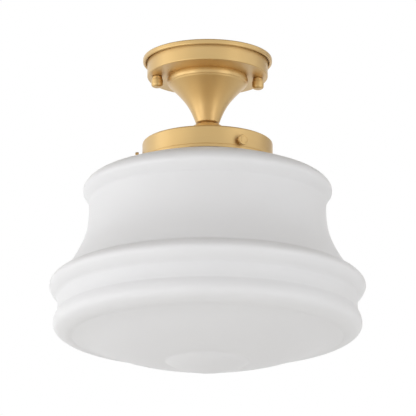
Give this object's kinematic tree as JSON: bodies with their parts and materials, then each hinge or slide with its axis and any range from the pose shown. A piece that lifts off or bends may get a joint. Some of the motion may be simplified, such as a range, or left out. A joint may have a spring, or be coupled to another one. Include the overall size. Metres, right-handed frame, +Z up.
{
  "type": "semi flush ceiling light",
  "caption": "Semi flush ceiling light: satin brass canopy and bell, round shade holder with thumb screws, lampholder, bulb and one blown opal glass shade.",
  "frame": {"origin": "centre of the ceiling face: the point on the light's axis at the height of the ceiling", "axes": "+Z up, out of the ceiling face; the light is seen from -Y in the picture, +X to the right; the two cap nuts lie along X"},
  "size_m": [0.3676, 0.3676, 0.3779],
  "materials": {
    "satin_brass": "satin brushed and lacquered",
    "etched_glass": "white opal glass, acid-etched outside",
    "zinc_steel": "zinc plated",
    "green_steel": "green coated",
    "soft_tip": "soft, translucent",
    "socket_brass": "rolled, bright",
    "porcelain": "glazed",
    "terminal_brass": "bright",
    "nickel_shell": "nickel plated",
    "lamp_cap": "rolled",
    "black_glass": "black",
    "solder": "dull",
    "lamp_glass": "frosted white",
    "black_lead": "smooth",
    "white_lead": "smooth",
    "bare_copper": "bare copper",
    "connector_plastic": "moulded"
  },
  "bodies": {
    "fixture": {"crossbar": "zinc_steel", "canopy_studs": "zinc_steel", "stud_nuts": "zinc_steel", "ground_screw": "green_steel", "trim_ring": "satin_brass", "canopy": "satin_brass", "bell": "satin_brass", "neck_collar": "satin_brass", "nipple": "zinc_steel", "top_washer": "zinc_steel", "bottom_washer": "zinc_steel", "top_locknut": "zinc_steel", "bottom_locknut": "zinc_steel", "fitter": "satin_brass", "socket_cap": "socket_brass", "cap_set_screw": "zinc_steel", "socket_body": "porcelain", "terminal_screws": "terminal_brass", "screw_shell": "nickel_shell", "centre_contact": "terminal_brass", "live_lead": "black_lead", "neutral_lead": "white_lead", "earth_lead": "bare_copper", "wire_connectors": "connector_plastic"},
    "cap_nut_left": {"cap_nut_left": "satin_brass"},
    "cap_nut_right": {"cap_nut_right": "satin_brass"},
    "screw_tip_1": {"screw_tip_1": "soft_tip"},
    "screw_tip_2": {"screw_tip_2": "soft_tip"},
    "screw_tip_3": {"screw_tip_3": "soft_tip"},
    "thumb_screw_1": {"thumb_screw_1": "satin_brass"},
    "thumb_screw_2": {"thumb_screw_2": "satin_brass"},
    "thumb_screw_3": {"thumb_screw_3": "satin_brass"},
    "shade": {"shade": "etched_glass"},
    "bulb": {"bulb_globe": "lamp_glass", "bulb_cap": "lamp_cap", "bulb_insulator": "black_glass", "bulb_contact": "solder"}
  },
  "joints": [
    {"name": "screw_1_travel", "type": "slide", "parent": "fixture", "child": "screw_tip_1", "axis": [0.4415, -0.8973, 0], "range_m": [-0.003, 0.001]},
    {"name": "screw_1_turn", "type": "hinge", "parent": "screw_tip_1", "child": "thumb_screw_1", "pos_m": [0.03554, -0.07223, -0.1215], "axis": [0.4415, -0.8973, 0], "range_deg": [-1365, 458]},
    {"name": "screw_2_travel", "type": "slide", "parent": "fixture", "child": "screw_tip_2", "axis": [0.5563, 0.831, 0], "range_m": [-0.003, 0.001]},
    {"name": "screw_2_turn", "type": "hinge", "parent": "screw_tip_2", "child": "thumb_screw_2", "pos_m": [0.04478, 0.06689, -0.1215], "axis": [0.5563, 0.831, 0], "range_deg": [-1365, 458]},
    {"name": "screw_3_travel", "type": "slide", "parent": "fixture", "child": "screw_tip_3", "axis": [-0.9978, 0.0663, 0], "range_m": [-0.003, 0.001]},
    {"name": "screw_3_turn", "type": "hinge", "parent": "screw_tip_3", "child": "thumb_screw_3", "pos_m": [-0.08032, 0.00534, -0.1215], "axis": [-0.9978, 0.0663, 0], "range_deg": [-1365, 458]},
    {"name": "shade_drop", "type": "slide", "parent": "fixture", "child": "shade", "axis": [0, 0, -1], "range_m": [0, 0.14]},
    {"name": "bulb_unscrew", "type": "slide", "parent": "fixture", "child": "bulb", "axis": [0, 0, -1], "range_m": [0, 0.03]},
    {"name": "cap_nut_left_unscrew", "type": "slide", "parent": "fixture", "child": "cap_nut_left", "axis": [0, 0, -1], "range_m": [0, 0.012]},
    {"name": "cap_nut_right_unscrew", "type": "slide", "parent": "fixture", "child": "cap_nut_right", "axis": [0, 0, -1], "range_m": [0, 0.012]}
  ],
  "couplings": [
    {"joint": "screw_1_turn", "follows": "screw_1_travel", "rad_per_m": 7913.3},
    {"joint": "screw_2_turn", "follows": "screw_2_travel", "rad_per_m": 7913.3},
    {"joint": "screw_3_turn", "follows": "screw_3_travel", "rad_per_m": 7913.3}
  ]
}
